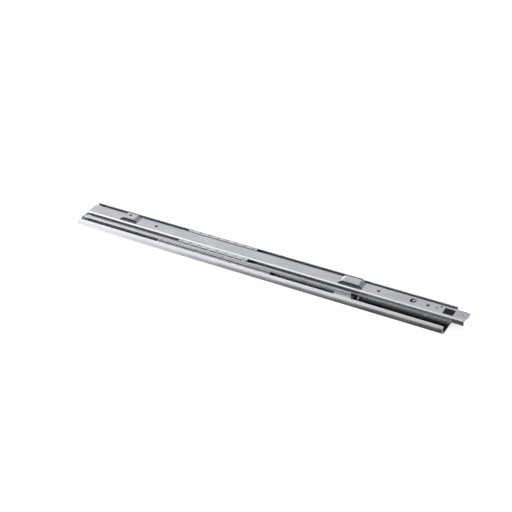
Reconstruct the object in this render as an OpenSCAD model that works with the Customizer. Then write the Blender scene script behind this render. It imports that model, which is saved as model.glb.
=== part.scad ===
// Ball-bearing drawer slide with three telescoping members, lying on the back of its cabinet rail.
// +X is the way the drawer opens, +Y runs across the slide's height and +Z points at the drawer.
// The origin is at the middle of the closed slide's length and width, on the back face.

/* [Rails] */
// Length of the cabinet rail, 22 inches nominal
cabinet_len = 558.8; // [520:0.1:620]
// Width across the cabinet rail's flanges, the slide's mounted height
slide_w = 53.3; // [53:0.1:55]
// Height of the drawer rail's face over the back face, the slide's side space
slide_t = 19.05; // [19.05:0.05:19.6]
// Sheet thickness of the cabinet rail and the drawer rail
rail_t = 1.8; // [1.6:0.05:1.9]
// Sheet thickness of the intermediate rail
inter_t = 1.6; // [1.4:0.05:1.7]
// Length of the intermediate rail
inter_len = 422; // [418:1:428]
// Length of the drawer rail without the tongue at its front
drawer_len = 571.5; // [568:0.1:580]

/* [Travel] */
// Travel of the intermediate rail in the cabinet rail
inter_travel = 242; // [180:1:244]
// Travel of the drawer rail in the intermediate rail
drawer_travel = 309; // [240:1:311]

/* [Balls] */
// Radius of the balls, 9/32 inch in diameter
ball_r = 3.572; // [3.4:0.001:3.6]
// Distance from ball to ball along a retainer
ball_pitch = 14; // [10:0.5:14]
// Number of balls in each outer row
outer_balls_n = 13; // [6:1:13]
// Number of balls in each inner row
inner_balls_n = 8; // [5:1:8]

/* [Hooks] */
// Height of a bayonet hook over the drawer rail's face
hook_rise = 4; // [3:0.1:5]
// Length of the rear bayonet hook, ramps included
rear_hook_len = 28; // [26:1:34]
// Length of the front bayonet hook, ramps included
front_hook_len = 34; // [30:1:40]
// Width of a bayonet hook
hook_w = 12; // [10:0.5:12.5]

/* [Hidden] */

eps = 0.01;
arc_step = 7;                // degrees between the points of a rolled bend
fit_gap = 0.08;              // radial gap between a ball and its race
rest_gap = 0.35;             // gap that is left between two pieces at the end of their travel
race_r = ball_r + fit_gap;
half_w = slide_w / 2;

// places along X, counted from the cabinet rail's rear end
tongue_len = 2.5;
end_gap = 8;                 // from the cabinet rail's rear end to the other two rails
overall_len = end_gap + drawer_len + tongue_len;
x_rear = -overall_len / 2;
inter_x = end_gap;
drawer_x = end_gap;

// heights of the sheets
web_gap = 1.6;               // between the cabinet rail's web and the intermediate rail's web
inter_web_z = rail_t + web_gap;
rim_z = 12.4;                // top of the cabinet rail's flanges
inter_rim_z = 17.5;          // top of the intermediate rail's flanges
web_top = slide_t;
web_low = slide_t - rail_t;

// rolled bends, each radius taken to the middle of the sheet
cabinet_wrap = 40;           // how far the cabinet rail's race reaches to each side of a ball's height
cabinet_bend_r = 2.2;
inter_bend_r = 1.4;
inter_low_wrap = 10;
inter_wrap = 22;
inter_knee_r = 2.8;
inter_rim_bend_r = 1;
drawer_bend_r = 1.2;
drawer_wrap = 24;
drawer_lip = 1.2;
cabinet_race = race_r + rail_t / 2;
inter_race = race_r + inter_t / 2;

// heights and half widths of the two rows of balls
outer_z = 7;
outer_y = half_w - rail_t - race_r;
inner_z = 14.3;
inner_y = outer_y - 2 * inter_race * cos(inter_wrap) + 2 * inter_knee_r * (1 - cos(inter_wrap));

// screw holes
hole_r = 2.3;
csk_r = 4.2;
csk_depth = 1.0;
cabinet_hole_x = [137.8, 265.8, 393.8, 521.8];
access_r = 5;
// the last one comes over the cabinet rail's front hole when the intermediate rail is fully out
access_x = [for (i = [0:2]) cabinet_hole_x[i], cabinet_hole_x[3] - inter_travel];
drawer_hole_x = [119, 460, 528];
drawer_hole_y = 0.6;
drawer_hole_r = 2.2;

// bayonet hooks
hooks = [[75.5, rear_hook_len], [422, front_hook_len]];  // middle and length of each
hook_y0 = -4;
hook_ramp = 5.5;
hook_slot_y0 = -7.8;
hook_slot_r = 1.8;
hook_hole = [74, 3.4];
hook_hole_r = 2;

// lock and other features of the drawer rail's face
lock_x = 507.4;
lock_y = 1.5;
lock_hole_r = 4.2;
lock_top = 0.6;              // how far the lock leaf's nib stands over the face
leaf_t = 0.6;
leaf_x = 500;
keeper_x = 533;
keeper_rivet_at = [540, 1.2];
rivet_r = 1.22;
rivet_hole_r = 1.3;
tooling_hole = [544.5, 5.8];
tooling_r = 1.4;
front_holes = [[570, 6], [574.7, 0.8]];
front_hole_r = 1.1;
rear_corner_r = [1.2, 5];    // rounding of the drawer rail's rear corners, on the -Y side and the +Y side
rivet_recess = 1.1;          // how deep the keeper's rivet lies under the face
window_x = 549.8;
window_len = 13.8;
window_y0 = -6.2;
window_w = 11.8;
face_half = 9.2;             // half width of the drawer rail's flat face

// stops
rear_tab_w = 10;
rear_tab_h = 8;
bumper_half_w = 20;
bumper_top = 12;
bumper_rivet_z = 6.6;
stop_w = 8;
cabinet_stop_x = inter_x + inter_t + inter_travel + rest_gap;
cabinet_stop_len = 6;
drawer_stop_z = 9.4;         // lower end of the drawer rail's rear tab
inter_stop_z = 12.6;         // upper end of the intermediate rail's stop
sleeve_t = 1.2;
inter_stop_x = drawer_x + rail_t + drawer_travel + rest_gap + sleeve_t;
end_tab_len = 9;             // tongues that end the inner races at the intermediate rail's front
end_tab_y = 12.2;
end_tab_w = 3.2;
end_tab_z = 11;

// retainers
cage_t = 1;
cage_low = 4.4;              // from the balls' height down to a retainer's lower edge
cage_lid_z = 3.75;           // from the balls' height up to a retainer's lid
cage_lid_t = 0.75;
cage_end = 5;
outer_cage_x = 132.6;
inner_cage_x = 166;
outer_lid = [18.6, 21.6];
inner_lid = [11.1, 16.0];
cage_hole_r = ball_r + 0.15;
cage_window = [5, 1.4];

// inserts at the intermediate rail's front end
insert_len = 24;

// points of an arc about c, from angle a to angle b
function arc(c, r, a, b) =
    let (n = max(1, ceil(abs(b - a) / arc_step)))
    [for (i = [0:n]) let (t = a + (b - a) * i / n) [c[0] + r * cos(t), c[1] + r * sin(t)]];

// a path without the points that repeat the one before
function no_repeats(p) = [for (i = [0:len(p) - 1]) if (i == 0 || norm(p[i] - p[max(i - 1, 0)]) > eps) p[i]];

function unit(v) = v / norm(v);
function left_of(v) = [-v[1], v[0]];

// direction that points to the left of a path at point i, stretched so that a bend keeps its thickness
function miter(p, i) =
    let (
        before = unit(p[i] - p[max(i - 1, 0)] + (i == 0 ? p[1] - p[0] : [0, 0])),
        after = unit(p[min(i + 1, len(p) - 1)] - p[i] + (i == len(p) - 1 ? p[i] - p[i - 1] : [0, 0])),
        mid = unit(left_of(before) + left_of(after))
    )
    mid / (mid * left_of(before));

function side(p, d) = [for (i = [0:len(p) - 1]) p[i] + d * miter(p, i)];
function reversed(p) = [for (i = [len(p) - 1:-1:0]) p[i]];
function mirrored(p) = [for (i = [len(p) - 1:-1:0]) [-p[i][0], p[i][1]]];

// closed outline of a bent sheet: half is the right half of its middle line, from the web outward
function sheet(half, t) =
    let (p = concat(mirrored(half), half))
    concat(side(p, t / 2), reversed(side(p, -t / 2)));

// point at angle a on a circle of radius r about c
function on(c, r, a) = [c[0] + r * cos(a), c[1] + r * sin(a)];

// middle line of the cabinet rail's right half: web, lower bend, race and rim
cabinet_bend_z = rail_t / 2 + cabinet_bend_r;
cabinet_bend_y = outer_y
    + (cabinet_race - cabinet_bend_r + sin(cabinet_wrap) * (cabinet_bend_z - outer_z)) / cos(cabinet_wrap);
cabinet_top = on([outer_y, outer_z], cabinet_race, cabinet_wrap);
cabinet_half = concat(
    arc([cabinet_bend_y, cabinet_bend_z], cabinet_bend_r, -90, -cabinet_wrap),
    arc([outer_y, outer_z], cabinet_race, -cabinet_wrap, cabinet_wrap),
    [[cabinet_top[0] - (rim_z - cabinet_top[1]) * tan(cabinet_wrap), rim_z]]
);

// middle line of the intermediate rail's right half: web, lower bend, outer race, knee, inner race and rim
inter_bend_z = inter_web_z + inter_t / 2 + inter_bend_r;
inter_bend_y = outer_y
    - (inter_bend_r + inter_race + sin(inter_low_wrap) * (inter_bend_z - outer_z)) / cos(inter_low_wrap);
outer_race_end = on([outer_y, outer_z], inter_race, 180 - inter_wrap);
inner_race_start = on([inner_y, inner_z], inter_race, -inter_wrap);
inner_race_end = on([inner_y, inner_z], inter_race, inter_wrap);
inter_rim_c = on(inner_race_end, inter_rim_bend_r, inter_wrap);
inter_half = no_repeats(concat(
    arc([inter_bend_y, inter_bend_z], inter_bend_r, -90, inter_low_wrap),
    arc([outer_y, outer_z], inter_race, 180 + inter_low_wrap, 180 - inter_wrap),
    arc(on(outer_race_end, -inter_knee_r, -inter_wrap), inter_knee_r, -inter_wrap, 0),
    arc(on(inner_race_start, -inter_knee_r, 180 - inter_wrap), inter_knee_r, 180, 180 - inter_wrap),
    arc([inner_y, inner_z], inter_race, -inter_wrap, inter_wrap),
    arc(inter_rim_c, inter_rim_bend_r, 180 + inter_wrap, 180),
    [[inter_rim_c[0] - inter_rim_bend_r, inter_rim_z]]
));

// middle line of the drawer rail's right half: web, upper bend, race and lip
drawer_bend_z = web_top - rail_t / 2 - drawer_bend_r;
drawer_bend_y = inner_y
    - (drawer_bend_r + cabinet_race - sin(drawer_wrap) * (drawer_bend_z - inner_z)) / cos(drawer_wrap);
drawer_half_w = drawer_bend_y + drawer_bend_r + rail_t / 2;
drawer_race_end = on([inner_y, inner_z], cabinet_race, 180 + drawer_wrap);
drawer_half = concat(
    arc([drawer_bend_y, drawer_bend_z], drawer_bend_r, 90, -drawer_wrap),
    arc([inner_y, inner_z], cabinet_race, 180 - drawer_wrap, 180 + drawer_wrap),
    [on(drawer_race_end, drawer_lip, drawer_wrap - 90)]
);

// a section drawn in Y and Z, run along X from x over len
module along_x(x, len) {
    translate([x_rear + x, 0, 0]) rotate([90, 0, 90]) linear_extrude(len) children();
}

// an upright hole of radius r at x and y
module hole(x, y, r, z0, z1) {
    translate([x_rear + x, y, z0]) cylinder(h = z1 - z0, r = r, $fn = 48);
}

module box_at(x, y, z, size) {
    translate([x_rear + x, y, z]) cube(size);
}

module cabinet_rail() {
    color("lightsteelblue") difference() {
        union() {
            along_x(0, cabinet_len) polygon(sheet(cabinet_half, rail_t));
            // rear tab that holds the bumper
            box_at(0, -rear_tab_w / 2, rail_t - eps, [rail_t, rear_tab_w, rear_tab_h]);
            // lanced stop that the intermediate rail's rear tab meets
            box_at(cabinet_stop_x, -stop_w / 2, rail_t - eps, [cabinet_stop_len, stop_w, web_gap - rest_gap]);
        }
        for (x = cabinet_hole_x) {
            hole(x, 0, hole_r, -1, rail_t + 1);
            translate([x_rear + x, 0, rail_t - csk_depth])
                cylinder(h = csk_depth + eps, r1 = hole_r, r2 = csk_r, $fn = 48);
        }
        rivet_hole(-1, rail_t + 1, rivet_hole_r);
    }
}

// hole of radius r for the bumper's rivet, from x over len
module rivet_hole(x, len, r) {
    translate([x_rear + x, 0, bumper_rivet_z]) rotate([0, 90, 0]) cylinder(h = len, r = r, $fn = 48);
}

// rubber block across the cabinet rail's rear end, which the other two rails come to rest against
module cabinet_rear_bumper() {
    x = rail_t + 0.05;
    len = end_gap - rest_gap - x;
    color("dimgray") difference() {
        along_x(x, len) polygon([
            [-bumper_half_w, rail_t + 0.1], [bumper_half_w, rail_t + 0.1], [bumper_half_w, bumper_top - 2],
            [bumper_half_w - 2, bumper_top], [2 - bumper_half_w, bumper_top], [-bumper_half_w, bumper_top - 2]
        ]);
        rivet_hole(x - 1, len + 2, rivet_hole_r);
        rivet_hole(x + len - 1.5, 2, 2.8);
    }
}

module rear_bumper_rivet() {
    color("silver") {
        rivet_hole(0.1, end_gap - rest_gap - 1.2, rivet_r);
        rivet_hole(end_gap - rest_gap - 1.4, 1, 2.3);
    }
}

module intermediate_rail() {
    front = inter_x + inter_len;
    color("gainsboro") difference() {
        union() {
            along_x(inter_x, inter_len) polygon(sheet(inter_half, inter_t));
            // rear tab bent down, which meets the cabinet rail's stop
            box_at(inter_x, -stop_w / 2, rail_t + rest_gap, [inter_t, stop_w, web_gap - rest_gap + eps]);
            // lanced stop that the drawer rail's rear tab meets
            box_at(inter_stop_x, -stop_w / 2, inter_web_z + eps,
                [inter_t, stop_w, inter_stop_z - inter_web_z - eps]);
            // tongues with bent-up ends, which keep the inner retainers from running out
            for (s = [-1, 1]) {
                y = s * (end_tab_y + end_tab_w / 2) - end_tab_w / 2;
                box_at(front - 1, y, inter_web_z, [end_tab_len + 1, end_tab_w, inter_t]);
                box_at(front + end_tab_len - inter_t, y, inter_web_z,
                    [inter_t, end_tab_w, end_tab_z - inter_web_z]);
            }
        }
        for (x = access_x) hole(x, 0, access_r, inter_web_z - 1, inter_web_z + inter_t + 1);
    }
}

// rubber sleeve closed round the intermediate rail's stop
module intermediate_stop_sleeve() {
    fit = 0.02;
    z = inter_web_z + inter_t + 0.1;
    color("dimgray") difference() {
        box_at(inter_stop_x - sleeve_t, -stop_w / 2 - sleeve_t, z,
            [inter_t + 2 * sleeve_t, stop_w + 2 * sleeve_t, inter_stop_z - z]);
        box_at(inter_stop_x - fit, -stop_w / 2 - fit, z - 1,
            [inter_t + 2 * fit, stop_w + 2 * fit, inter_stop_z]);
    }
}

// insert that fills the outer race at the intermediate rail's front end, on side s
module intermediate_insert(s) {
    y = outer_lid[0];
    color("whitesmoke") mirror([0, s < 0 ? 1 : 0, 0]) difference() {
        along_x(inter_x + inter_len - insert_len, insert_len) difference() {
            polygon([
                [outer_y - race_r, inter_web_z + 0.2], [outer_y - 0.4, inter_web_z + 0.2],
                [outer_y + 0.8, outer_z - 2.5], [outer_y + 1.2, outer_z + 2.6], [outer_lid[1], outer_z + 4.3],
                [outer_lid[1] - 0.4, outer_z + 4.6], [y - 0.4, outer_z + 4.6]
            ]);
            polygon(concat(side(inter_half, -inter_t / 2 - 0.03), [[0, inter_rim_z], [0, inter_web_z]]));
        }
        for (i = [0:3])
            box_at(inter_x + inter_len - insert_len + 3 + i * 5.5, y + 0.9, outer_z + 3.8, [3, 1.2, 2]);
    }
}

// a bridge of length len pressed up out of the drawer rail's face, its middle at x
module bayonet_hook(x, len) {
    low = web_low;
    h = hook_rise;
    half = len / 2;
    inner = half - hook_ramp;
    translate([x_rear + x, hook_y0 + hook_w, 0]) rotate([90, 0, 0]) linear_extrude(hook_w) polygon([
        [-half - 1, low], [-half + 0.4, low], [-inner + 0.6, low + h], [inner - 0.6, low + h],
        [half - 0.4, low], [half + 1, low], [half + 1, web_top], [half, web_top],
        [inner, web_top + h], [-inner, web_top + h], [-half, web_top], [-half - 1, web_top]
    ]);
}

// the opening that a bayonet hook of length len is pressed up from, with the corners on the -Y side rounded
module hook_slot(x, len) {
    r = hook_slot_r;
    w = hook_y0 + hook_w + 0.2 - hook_slot_y0;
    translate([x_rear + x, hook_slot_y0, web_low - 1]) linear_extrude(rail_t + 2) {
        translate([r, 0]) square([len - 2 * r, w]);
        translate([0, r]) square([len, w - r]);
        for (at = [r, len - r]) translate([at, r]) circle(r = r, $fn = 48);
    }
}

// what is cut away to round the drawer rail's rear corner on side s
module rear_corner(s) {
    r = rear_corner_r[s < 0 ? 0 : 1];
    z = drawer_stop_z - 1;
    mirror([0, s < 0 ? 1 : 0, 0])
        translate([x_rear + drawer_x, drawer_half_w - r, z]) linear_extrude(web_top + 1 - z) difference() {
            translate([-1, 0]) square([r + 1, r + 1]);
            translate([r, 0]) circle(r = r, $fn = 48);
        }
}

module drawer_rail() {
    front = drawer_x + drawer_len;
    color("lightgray") difference() {
        union() {
            difference() {
                along_x(drawer_x, drawer_len) polygon(sheet(drawer_half, rail_t));
                for (h = hooks) hook_slot(h[0] - h[1] / 2, h[1]);
            }
            for (h = hooks) bayonet_hook(h[0], h[1]);
            // tongue at the front of the face
            translate([x_rear + front, 0, web_low]) linear_extrude(rail_t) polygon([
                [-1, -face_half], [0.6, 0.4 - face_half], [0.9, -3.2], [tongue_len - 0.4, -2.4],
                [tongue_len, -1.6], [tongue_len, face_half - 1.6], [0.9, face_half], [-1, face_half]
            ]);
            // rear tab bent down, which meets the intermediate rail's stop
            box_at(drawer_x, -stop_w / 2, drawer_stop_z, [rail_t, stop_w, web_low - drawer_stop_z + eps]);
        }
        for (x = drawer_hole_x) hole(x, drawer_hole_y, drawer_hole_r, web_low - 1, web_top + 1);
        hole(hook_hole[0], hook_hole[1], hook_hole_r, web_low + 1, web_top + hook_rise + 1);
        hole(lock_x, lock_y, lock_hole_r, web_low - 1, web_top + 1);
        hole(keeper_rivet_at[0], keeper_rivet_at[1], rivet_hole_r, web_low - 1, web_top + 1);
        hole(tooling_hole[0], tooling_hole[1], tooling_r, web_low - 1, web_top + 1);
        for (p = front_holes) hole(p[0], p[1], front_hole_r, web_low - 1, web_top + 1);
        for (s = [-1, 1]) rear_corner(s);
        box_at(window_x, window_y0, web_low - 1, [window_len, window_w, rail_t + 2]);
    }
}

// rubber bumper snapped into the window of the drawer rail's face
module front_bumper() {
    color([0.1, 0.1, 0.1]) union() {
        box_at(window_x + 0.1, window_y0 + 0.1, web_low - 0.5, [window_len - 0.2, window_w - 0.2, rail_t]);
        box_at(window_x - 2, window_y0 - 0.9, web_low - 2.6, [window_len + 4, window_w + 1.8, 2.55]);
    }
}

// plate riveted under the face, with a joggled lip that holds the lock leaf's root
module lock_keeper() {
    z = web_low - 0.05;
    color("silver") difference() {
        union() {
            box_at(keeper_x + 3, -4, z - 1, [10, 10, 1]);
            box_at(keeper_x - 2, -4, z - 2.8, [5.6, 10, 0.9]);
            box_at(keeper_x + 3, -4, z - 2.8, [0.9, 10, 2.2]);
        }
        hole(keeper_rivet_at[0], keeper_rivet_at[1], rivet_hole_r, z - 4, z + 1);
    }
}

module keeper_rivet() {
    color("gainsboro") {
        hole(keeper_rivet_at[0], keeper_rivet_at[1], rivet_r, web_low - 1.6, web_top - rivet_recess);
        hole(keeper_rivet_at[0], keeper_rivet_at[1], 2.2, web_low - 1.9, web_low - 1.1);
    }
}

// spring-steel leaf whose nib stands up through the round window and keeps the drawer on its hooks
module lock_leaf() {
    z = web_low - 1.45;
    rise = web_top + lock_top - z;
    color("darkgray") difference() {
        union() {
            box_at(leaf_x, -3.8, z, [keeper_x + 2.4 - leaf_x, 9.6, leaf_t]);
            translate([x_rear + lock_x, lock_y + 1.6, z]) rotate([90, 0, 0]) linear_extrude(3.2) polygon([
                [-2.6, 0], [2.6, 0], [2.6, rise], [0.6, rise], [-2.6, rise - 2]
            ]);
        }
        hole(drawer_hole_x[2], drawer_hole_y, 3, z - 1, z + 2);
    }
}

// strip with a row of n holes for its balls and a lid over them, on side s; lid gives the lid's two sides
module retainer(x, y, z, n, s, lid) {
    len = (n - 1) * ball_pitch + 2 * cage_end;
    mirror([0, s < 0 ? 1 : 0, 0]) difference() {
        union() {
            box_at(x, y - cage_t / 2, z - cage_low, [len, cage_t, cage_low + cage_lid_z + eps]);
            box_at(x, lid[0], z + cage_lid_z, [len, lid[1] - lid[0], cage_lid_t]);
        }
        for (i = [0:n - 1]) {
            at = x + cage_end + i * ball_pitch;
            translate([x_rear + at, y, z]) rotate([90, 0, 0])
                cylinder(h = cage_t + 2, r = cage_hole_r, center = true, $fn = 48);
            box_at(at - cage_window[0] / 2, y - cage_window[1] / 2, z + cage_lid_z - 1,
                [cage_window[0], cage_window[1], 3]);
        }
    }
}

module balls(x, y, z, n, s) {
    for (i = [0:n - 1])
        translate([x_rear + x + cage_end + i * ball_pitch, s * y, z]) sphere(r = ball_r, $fn = 48);
}

module outer_retainer(s) {
    color("darkkhaki") retainer(outer_cage_x, outer_y, outer_z, outer_balls_n, s, outer_lid);
}

module inner_retainer(s) {
    color("darkkhaki") retainer(inner_cage_x, inner_y, inner_z, inner_balls_n, s, inner_lid);
}

module outer_balls(s) { color("white") balls(outer_cage_x, outer_y, outer_z, outer_balls_n, s); }
module inner_balls(s) { color("white") balls(inner_cage_x, inner_y, inner_z, inner_balls_n, s); }

cabinet_rail();
cabinet_rear_bumper();
rear_bumper_rivet();
intermediate_rail();
intermediate_stop_sleeve();
intermediate_insert(-1);  // intermediate_insert_left
intermediate_insert(1);  // intermediate_insert_right
drawer_rail();
front_bumper();
lock_keeper();
keeper_rivet();
lock_leaf();
outer_retainer(-1);  // outer_retainer_left
outer_retainer(1);  // outer_retainer_right
outer_balls(-1);  // outer_balls_left
outer_balls(1);  // outer_balls_right
inner_retainer(-1);  // inner_retainer_left
inner_retainer(1);  // inner_retainer_right
inner_balls(-1);  // inner_balls_left
inner_balls(1);  // inner_balls_right
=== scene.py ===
import math

import bpy
from mathutils import Matrix, Vector


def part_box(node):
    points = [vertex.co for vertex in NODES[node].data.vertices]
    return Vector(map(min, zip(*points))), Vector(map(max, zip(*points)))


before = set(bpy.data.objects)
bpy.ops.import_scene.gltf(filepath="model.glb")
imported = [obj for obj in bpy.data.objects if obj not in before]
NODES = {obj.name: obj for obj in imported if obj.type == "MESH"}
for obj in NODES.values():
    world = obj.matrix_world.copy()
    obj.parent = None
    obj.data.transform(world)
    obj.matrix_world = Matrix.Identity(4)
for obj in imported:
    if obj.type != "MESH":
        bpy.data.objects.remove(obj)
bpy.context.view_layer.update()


# ---------------------------------------------------------------- node trees

def rgba(value):
    """A grey or a colour as four numbers."""
    return (value, value, value, 1.0) if isinstance(value, (int, float)) else (*value, 1.0)


class Tree:
    """The node tree of a material or world, emptied."""

    def __init__(self, owner):
        owner.use_nodes = True
        self.tree = owner.node_tree
        self.tree.nodes.clear()

    def node(self, kind, **values):
        n = self.tree.nodes.new(kind)
        for key, value in values.items():
            setattr(n, key, value)
        return n

    def link(self, a, b):
        self.tree.links.new(a, b)

    def feed(self, socket, value):
        """Sets a socket to a number or colour, or links it to another socket."""
        if isinstance(value, (int, float)):
            socket.default_value = value
        elif isinstance(value, tuple):
            socket.default_value = rgba(value)
        else:
            self.link(value, socket)

    def ramp(self, fac, stops):
        """stops are pairs of a position and a grey or colour."""
        r = self.node("ShaderNodeValToRGB")
        points = r.color_ramp.elements
        while len(points) < len(stops):
            points.new(0.5)
        for point, (at, value) in zip(points, stops):
            point.position = at
            point.color = rgba(value)
        self.link(fac, r.inputs["Fac"])
        return r.outputs["Color"]

    def math(self, operation, *values, clamp=False):
        n = self.node("ShaderNodeMath", operation=operation, use_clamp=clamp)
        for socket, value in zip(n.inputs, values):
            self.feed(socket, value)
        return n.outputs[0]

    def mix(self, fac, a, b, blend="MIX"):
        n = self.node("ShaderNodeMix", data_type="RGBA", blend_type=blend)
        for socket, value in ((n.inputs[0], fac), (n.inputs[6], a), (n.inputs[7], b)):
            self.feed(socket, value)
        return n.outputs[2]

    def split(self, vector):
        """The X, Y and Z of a vector."""
        xyz = self.node("ShaderNodeSeparateXYZ")
        self.link(vector, xyz.inputs[0])
        return xyz.outputs


# ---------------------------------------------------------------- materials

class Graph(Tree):
    """A material's node tree, with one Principled shader."""

    def __init__(self, name):
        self.mat = bpy.data.materials.new(name)
        super().__init__(self.mat)
        self.shader = self.node("ShaderNodeBsdfPrincipled")
        self.link(self.shader.outputs["BSDF"], self.node("ShaderNodeOutputMaterial").inputs["Surface"])
        self.place = self.node("ShaderNodeTexCoord").outputs["Object"]

    def set(self, **values):
        for key, value in values.items():
            self.feed(self.shader.inputs[key.replace("_", " ")], value)

    def noise(self, size, detail, rough, twist=0.0, shift=0.0):
        """Noise with a pattern of that size in metres along X, Y and Z; shift picks another pattern."""
        scaled = self.node("ShaderNodeMapping")
        scaled.inputs["Scale"].default_value = [1.0 / s for s in size]
        self.link(self.place, scaled.inputs["Vector"])
        n = self.node("ShaderNodeTexNoise", noise_dimensions="4D")
        n.inputs["W"].default_value = shift
        n.inputs["Scale"].default_value = 1.0
        n.inputs["Detail"].default_value = detail
        n.inputs["Roughness"].default_value = rough
        n.inputs["Distortion"].default_value = twist
        self.link(scaled.outputs["Vector"], n.inputs["Vector"])
        return n.outputs["Fac"]

    def bump(self, height, distance, strength, normal):
        b = self.node("ShaderNodeBump")
        b.inputs["Strength"].default_value = strength
        b.inputs["Distance"].default_value = distance
        self.link(height, b.inputs["Height"])
        self.link(normal, b.inputs["Normal"])
        return b.outputs["Normal"]

    def two_tones(self, pattern, dark, light, spread):
        """A colour that goes from dark to light over the pattern's middle, spread on either side of 0.5."""
        return self.mix(self.ramp(pattern, [(0.5 - spread, 0.0), (0.5 + spread, 1.0)]), dark, light)

    def varied(self, mean, *parts):
        """A value that varies about a mean: each part is a noise and how far that noise moves the value."""
        total = self.math("MULTIPLY", *parts[0])
        for noise, share in parts[1:]:
            total = self.math("ADD", total, self.math("MULTIPLY", noise, share))
        half_of_shares = sum(share for noise, share in parts) / 2.0
        return self.math("ADD", total, mean - half_of_shares, clamp=True)

    def soft_edges(self, radius):
        b = self.node("ShaderNodeBevel", samples=4)
        b.inputs["Radius"].default_value = radius
        return b.outputs["Normal"]

    def folds(self, reach):
        """0 deep in the piece's own folds and slots, 1 on an open face; other pieces don't count."""
        a = self.node("ShaderNodeAmbientOcclusion", samples=6, only_local=True)
        a.inputs["Distance"].default_value = reach
        return a.outputs["AO"]

    def within(self, half_x=1.0, half_y=1.0, low=-1.0, high=1.0, fade=0.00001):
        """1 inside a box round the frame's middle: half length, half width, lowest and highest height.

        It fades in from the box's two long sides, over the width of fade.
        """
        x, y, z = self.split(self.place)
        from_side = self.math("SUBTRACT", half_y, self.math("ABSOLUTE", y))
        inside = self.math("LESS_THAN", self.math("ABSOLUTE", x), half_x)
        inside = self.math("MULTIPLY", inside, self.math("DIVIDE", from_side, fade, clamp=True))
        inside = self.math("MULTIPLY", inside, self.math("GREATER_THAN", z, low))
        return self.math("MULTIPLY", inside, self.math("LESS_THAN", z, high))


# the thin coloured film on zinc plating, from its bluest to its greenest stretch
FILM = [(0.30, (0.80, 0.90, 1.0)), (0.46, (0.96, 0.98, 1.0)), (0.54, (1.0, 0.99, 0.97)),
        (0.64, (0.93, 0.90, 1.0)), (0.74, (0.88, 1.0, 0.97))]
SPOT_COLOUR = (0.35, 0.36, 0.38)
SPOT_STRENGTH = 0.35
FOLD_REACH = 0.012           # surfaces of one piece that are nearer than this shade each other


def plated_steel(name, light, dark, rough, tint, grain, shift, edge=0.00035, fold_shade=1.0, wear_and_painted_light_zone=None):
    """Zinc-plated rolled sheet: lengthwise rolling lines, clouds in the plating, faint blue and violet tints.

    light and dark are the plating's two tones and rough is its mean roughness. tint is the strength of the
    coloured film, grain the depth of the relief, edge the radius of the edges and fold_shade the depth of the
    painted shade in the piece's own folds and slots. wear_and_painted_light_zone is a part of the piece
    painted another colour (painted shade where other rails cover it, on the lock leaf rubbed wear with a
    painted highlight): the limits that within() takes, and that colour.
    """
    g = Graph(name)
    clouds = g.noise((0.034, 0.013, 0.013), detail=4.0, rough=0.55, twist=0.6, shift=shift)
    lines = g.noise((0.23, 0.0011, 0.0011), detail=5.0, rough=0.62, shift=shift + 3.1)
    fine = g.noise((0.019, 0.00035, 0.00035), detail=2.0, rough=0.6, shift=shift + 7.7)
    specks = g.noise((0.0016, 0.0013, 0.0013), detail=2.0, rough=0.6, shift=shift + 1.3)
    hue = g.noise((0.11, 0.021, 0.021), detail=3.0, rough=0.5, twist=1.2, shift=shift + 5.2)
    swell = g.noise((0.16, 0.006, 0.006), detail=2.0, rough=0.5, shift=shift + 9.0)

    tone = g.math("ADD", g.math("MULTIPLY", clouds, 0.5), g.math("MULTIPLY", lines, 0.5))
    plating = g.two_tones(tone, dark, light, spread=0.14)
    coated = g.mix(tint, plating, g.ramp(hue, FILM), "MULTIPLY")
    spots = g.math("MULTIPLY", g.ramp(specks, [(0.29, 1.0), (0.36, 0.0)]), SPOT_STRENGTH)
    spotted = g.mix(spots, coated, SPOT_COLOUR)
    # painted shade: the piece's own folds and slots are darkened in the colour as deep as they hide from the
    # light
    painted_fold_shade = g.ramp(g.folds(FOLD_REACH), [(0.05, 1.0 - 0.80 * fold_shade), (0.30, 1.0 - 0.45 * fold_shade), (0.60, 1.0)])
    colour = g.mix(1.0, spotted, painted_fold_shade, "MULTIPLY")
    # painted shade, and on the lock leaf rubbed wear with a painted highlight, laid over the colour in a part
    # of the piece
    if wear_and_painted_light_zone:
        limits, wear_and_painted_light_colour = wear_and_painted_light_zone
        colour = g.mix(g.within(**limits), colour, wear_and_painted_light_colour)
    g.set(Base_Color=colour, Metallic=1.0)

    g.set(Roughness=g.varied(rough, (clouds, 0.22), (fine, 0.16)))
    waves = g.bump(swell, distance=0.0004, strength=0.20 * grain, normal=g.soft_edges(edge))
    rolled = g.bump(lines, distance=0.00006, strength=0.5 * grain, normal=waves)
    g.set(Normal=g.bump(specks, distance=0.00003, strength=0.35 * grain, normal=rolled))
    return g.mat


def polished_steel(name, light, dark, rough, shift):
    """Ground balls and rivets: nearly a mirror, with a film of oil and small pits."""
    g = Graph(name)
    oil = g.noise((0.003, 0.003, 0.003), detail=3.0, rough=0.6, twist=1.0, shift=shift)
    pits = g.noise((0.0006, 0.0006, 0.0006), detail=2.0, rough=0.5, shift=shift + 2.0)
    g.set(Base_Color=g.two_tones(oil, dark, light, spread=0.15), Metallic=1.0)
    g.set(Roughness=g.varied(rough, (oil, 0.2)))
    g.set(Normal=g.bump(pits, distance=0.00002, strength=0.3, normal=g.soft_edges(0.0002)))
    return g.mat


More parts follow.
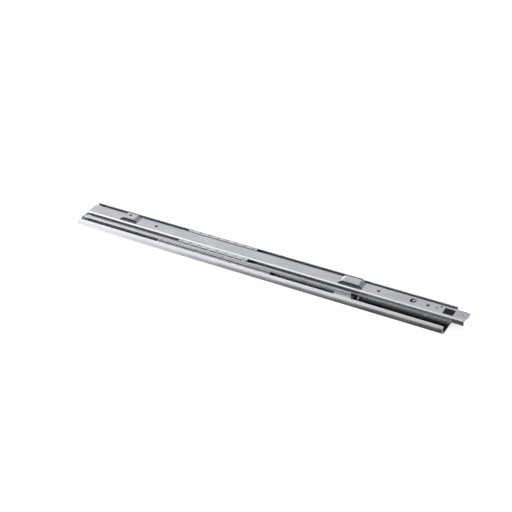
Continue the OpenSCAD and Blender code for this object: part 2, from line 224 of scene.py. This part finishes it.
def moulded(name, light, dark, rough, mottle, pore, relief, shift, sheen=0.0, specular=0.5):
    """Rubber or nylon: mottled colour and a fine moulded grain.

    mottle is the share of the broad pattern in the colour, pore the grain's size and relief its depth.
    """
    g = Graph(name)
    broad = g.noise((0.006, 0.006, 0.006), detail=4.0, rough=0.6, twist=0.4, shift=shift)
    grain = g.noise((pore, pore, pore), detail=3.0, rough=0.65, shift=shift + 4.0)
    blend = g.math("ADD", g.math("MULTIPLY", broad, mottle), g.math("MULTIPLY", grain, 1.0 - mottle))
    g.set(Base_Color=g.two_tones(blend, dark, light, spread=0.15))
    g.set(Roughness=g.varied(rough, (grain, 0.2)))
    g.set(Normal=g.bump(grain, distance=relief, strength=0.5, normal=g.soft_edges(0.0004)))
    g.set(Sheen_Weight=sheen, Specular_IOR_Level=specular)
    return g.mat


HOOK_RISE = 0.004            # the hooks' height over the drawer rail's face
FACE_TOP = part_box("drawer_rail")[1][2] - HOOK_RISE
PAINTED_CHANNEL_SHADE = (0.20, 0.20, 0.205)
PAINTED_UNDER_FACE_SHADE = (0.05, 0.05, 0.053)
RUBBED_AND_HIGHLIT_STEEL = (0.80, 0.81, 0.82)

# painted shade on the channel floors of the cabinet and intermediate rails and under the drawer rail's face,
# where the rails cover each other, and rubbed wear with a painted highlight on the lock leaf's nib
CABINET_CHANNEL_SHADE = ({"half_y": 0.0205, "low": 0.0012, "high": 0.0030, "fade": 0.003}, PAINTED_CHANNEL_SHADE)
INTERMEDIATE_CHANNEL_SHADE = ({"half_y": 0.0163, "low": 0.0040, "high": 0.0075, "fade": 0.0005}, PAINTED_CHANNEL_SHADE)
# painted shade: the underside of the drawer rail's face is darkened, so the channels under it look shaded
UNDER_FACE_SHADE = ({"half_y": 0.0088, "high": FACE_TOP - 0.0014}, PAINTED_UNDER_FACE_SHADE)
# rubbed wear and a painted highlight: the top of the lock leaf's nib is lighter steel
WORN_AND_HIGHLIT_NIB = ({"low": FACE_TOP - 0.0004}, RUBBED_AND_HIGHLIT_STEEL)

PLATED = {
    "cabinet_zinc": dict(light=(0.76, 0.77, 0.785), dark=(0.60, 0.615, 0.64), rough=0.24, tint=0.35,
                         grain=1.0, shift=0.0, edge=0.0009, wear_and_painted_light_zone=CABINET_CHANNEL_SHADE),
    "intermediate_zinc": dict(light=(0.74, 0.755, 0.77), dark=(0.58, 0.60, 0.62), rough=0.22, tint=0.5,
                              grain=1.0, shift=11.0, edge=0.0008, fold_shade=0.4, wear_and_painted_light_zone=INTERMEDIATE_CHANNEL_SHADE),
    "drawer_zinc": dict(light=(0.77, 0.785, 0.80), dark=(0.66, 0.675, 0.695), rough=0.22, tint=0.6,
                        grain=0.8, shift=23.0, edge=0.0003, fold_shade=0.5, wear_and_painted_light_zone=UNDER_FACE_SHADE),
    "keeper_zinc": dict(light=(0.68, 0.69, 0.70), dark=(0.52, 0.53, 0.55), rough=0.34, tint=0.4,
                        grain=1.0, shift=31.0),
    "retainer_steel": dict(light=(0.86, 0.865, 0.87), dark=(0.58, 0.59, 0.60), rough=0.38, tint=0.2,
                           grain=1.6, shift=47.0),
    "leaf_steel": dict(light=(0.22, 0.23, 0.25), dark=(0.13, 0.14, 0.15), rough=0.34, tint=0.6,
                       grain=0.8, shift=53.0, wear_and_painted_light_zone=WORN_AND_HIGHLIT_NIB),
}
POLISHED = {
    "ball_steel": dict(light=(0.82, 0.83, 0.84), dark=(0.68, 0.69, 0.70), rough=0.12, shift=2.0),
    "rivet_steel": dict(light=(0.72, 0.73, 0.74), dark=(0.52, 0.53, 0.54), rough=0.28, shift=6.0),
    "dark_rivet": dict(light=(0.26, 0.265, 0.27), dark=(0.14, 0.145, 0.15), rough=0.34, shift=8.0),
}
MOULDED = {
    "grey_rubber": dict(light=(0.25, 0.255, 0.26), dark=(0.15, 0.155, 0.16), rough=0.62, mottle=0.6,
                        pore=0.0005, relief=0.00006, shift=1.0, sheen=0.1),
    "black_rubber": dict(light=(0.022, 0.022, 0.024), dark=(0.008, 0.008, 0.009), rough=0.6, mottle=0.5,
                         pore=0.0005, relief=0.00006, shift=3.0, specular=0.12),
    "nylon": dict(light=(0.80, 0.81, 0.80), dark=(0.60, 0.615, 0.62), rough=0.42, mottle=0.7,
                  pore=0.0007, relief=0.00004, shift=5.0),
}
MATERIALS = {}
for make, looks in ((plated_steel, PLATED), (polished_steel, POLISHED), (moulded, MOULDED)):
    for material_name, look in looks.items():
        MATERIALS[material_name] = make(material_name, **look)

WEARS = {
    "cabinet_rail": "cabinet_zinc",
    "cabinet_rear_bumper": "grey_rubber",
    "rear_bumper_rivet": "rivet_steel",
    "intermediate_rail": "intermediate_zinc",
    "intermediate_stop_sleeve": "grey_rubber",
    "intermediate_insert_left": "nylon",
    "intermediate_insert_right": "nylon",
    "drawer_rail": "drawer_zinc",
    "front_bumper": "black_rubber",
    "lock_keeper": "keeper_zinc",
    "keeper_rivet": "dark_rivet",
    "lock_leaf": "leaf_steel",
    "outer_retainer_left": "retainer_steel",
    "outer_retainer_right": "retainer_steel",
    "outer_balls_left": "ball_steel",
    "outer_balls_right": "ball_steel",
    "inner_retainer_left": "retainer_steel",
    "inner_retainer_right": "retainer_steel",
    "inner_balls_left": "ball_steel",
    "inner_balls_right": "ball_steel",
}
for node_name, material_name in WEARS.items():
    obj = NODES[node_name]
    obj.data.materials.clear()
    obj.data.materials.append(MATERIALS[material_name])


# ---------------------------------------------------------------- floor

FLOOR_SIZE = 40.0
FLOOR_GAP = 0.0003           # keeps the floor off the rail's back face
FLOOR_GLOW = 0.65
UNDER_RAIL = {"half_x": 0.2680, "half_y": 0.0212}
UNDER_RAIL_SHADE = 0.03


def floor():
    """Pale paper that glows a little, with a painted shadow under the cabinet rail's flat back."""
    bpy.ops.mesh.primitive_plane_add(size=FLOOR_SIZE, location=(0, 0, -FLOOR_GAP))
    plane = bpy.context.object
    plane.name = "studio_floor"
    g = Graph("studio_floor")
    cloudy = g.noise((0.4, 0.4, 0.4), detail=3.0, rough=0.5, shift=1.0)
    paper = g.mix(cloudy, (0.93, 0.93, 0.93), (0.96, 0.96, 0.96))
    shade = g.ramp(g.within(**UNDER_RAIL), [(0.0, 1.0), (1.0, UNDER_RAIL_SHADE)])
    g.set(Base_Color=g.mix(1.0, paper, shade, "MULTIPLY"), Roughness=0.9, Specular_IOR_Level=0.0)
    g.set(Emission_Color=shade, Emission_Strength=FLOOR_GLOW)
    plane.data.materials.append(g.mat)
    plane.visible_glossy = False


floor()


# ---------------------------------------------------------------- camera

PICTURE = 512                # pixels across
FOCAL_PX = 1212.5            # focal length in those pixels
SENSOR = 36.0
AZIMUTH, ELEVATION, ROLL = math.radians(31.316), math.radians(34.835), math.radians(-2.91)
TARGET = Vector((-0.02496, 0.02236, 0.0))
DISTANCE = 1.65934


def camera():
    forward = Vector((-math.sin(AZIMUTH) * math.cos(ELEVATION), math.cos(AZIMUTH) * math.cos(ELEVATION),
                      -math.sin(ELEVATION)))
    right = Vector((math.cos(AZIMUTH), math.sin(AZIMUTH), 0.0))
    up = right.cross(forward)
    x = right * math.cos(ROLL) + up * math.sin(ROLL)
    y = up * math.cos(ROLL) - right * math.sin(ROLL)
    data = bpy.data.cameras.new("camera")
    data.sensor_width = SENSOR
    data.lens = FOCAL_PX / PICTURE * SENSOR
    data.clip_end = 100.0
    cam = bpy.data.objects.new("camera", data)
    at = TARGET - forward * DISTANCE
    cam.matrix_world = Matrix(((x.x, y.x, -forward.x, at.x), (x.y, y.y, -forward.y, at.y),
                               (x.z, y.z, -forward.z, at.z), (0, 0, 0, 1)))
    bpy.context.scene.collection.objects.link(cam)
    bpy.context.scene.camera = cam


camera()


# ---------------------------------------------------------------- light

def lamp(name, at, towards, size, watts):
    """A rectangular lamp that lights the scene and doesn't show in the steel."""
    data = bpy.data.lights.new(name, "AREA")
    data.shape = "RECTANGLE"
    data.size, data.size_y = size
    data.energy = watts
    obj = bpy.data.objects.new(name, data)
    obj.location = at
    obj.rotation_euler = (Vector(towards) - Vector(at)).to_track_quat("-Z", "Y").to_euler()
    obj.visible_glossy = False
    bpy.context.scene.collection.objects.link(obj)


# the studio's brightness in each direction from the object: stops are pairs of a direction's X, from -1 to 1,
# and the brightness there
OVERHEAD = [(-0.56, 1.65), (-0.40, 1.45), (-0.26, 1.0), (-0.10, 0.62)]
BACK_WALL = [(-0.70, 0.82), (-0.40, 0.69), (-0.26, 0.56), (0.10, 0.34), (0.44, 0.26), (0.70, 0.50)]
FRONT_WALL = [(-0.53, 1.35), (-0.48, 1.1), (-0.40, 0.85), (-0.34, 0.20), (-0.16, 0.06), (0.04, 0.12),
              (0.28, 0.52)]
FRONT_WALL_TOP = [(-0.53, 1.4), (-0.40, 1.1), (-0.32, 0.9), (-0.24, 0.55), (-0.08, 0.15), (0.28, 0.52)]
BELOW = [(-0.53, 1.55), (-0.49, 0.62), (-0.44, 0.30), (-0.36, 0.10), (-0.10, 0.05), (0.24, 0.60)]
BACKDROP = 0.93              # what the camera sees behind the floor


def sky():
    """A studio seen from the object: bright overhead, pale behind, and dark low down beside the camera."""
    world = bpy.data.worlds.new("studio")
    bpy.context.scene.world = world
    w = Tree(world)
    x, y, z = w.split(w.node("ShaderNodeTexCoord").outputs["Generated"])

    def along(part, stops):
        """A ramp over one part of the direction, which runs from -1 to 1."""
        halved = w.math("MULTIPLY_ADD", part, 0.5, 0.5)
        return w.ramp(halved, [((at + 1.0) / 2.0, value) for at, value in stops])

    front = w.mix(along(z, [(0.36, 0.0), (0.52, 1.0)]), along(x, FRONT_WALL), along(x, FRONT_WALL_TOP))
    around = w.mix(along(y, [(-0.16, 0.0), (0.16, 1.0)]), front, along(x, BACK_WALL))
    sides = w.mix(along(z, [(-0.06, 0.0), (0.06, 1.0)]), along(x, BELOW), around)
    colour = w.mix(along(z, [(0.66, 0.0), (0.76, 1.0)]), sides, along(x, OVERHEAD))

    studio = w.node("ShaderNodeBackground")
    w.link(colour, studio.inputs["Color"])
    backdrop = w.node("ShaderNodeBackground")
    backdrop.inputs["Color"].default_value = rgba(BACKDROP)
    seen = w.node("ShaderNodeMixShader")
    w.link(w.node("ShaderNodeLightPath").outputs["Is Camera Ray"], seen.inputs[0])
    w.link(studio.outputs[0], seen.inputs[1])
    w.link(backdrop.outputs[0], seen.inputs[2])
    w.link(seen.outputs[0], w.node("ShaderNodeOutputWorld").inputs["Surface"])


sky()
lamp("overhead", at=(-0.1, 0.1, 2.2), towards=(0, 0, 0), size=(2.4, 2.4), watts=15.0)
bpy.context.scene.view_settings.view_transform = "Standard"
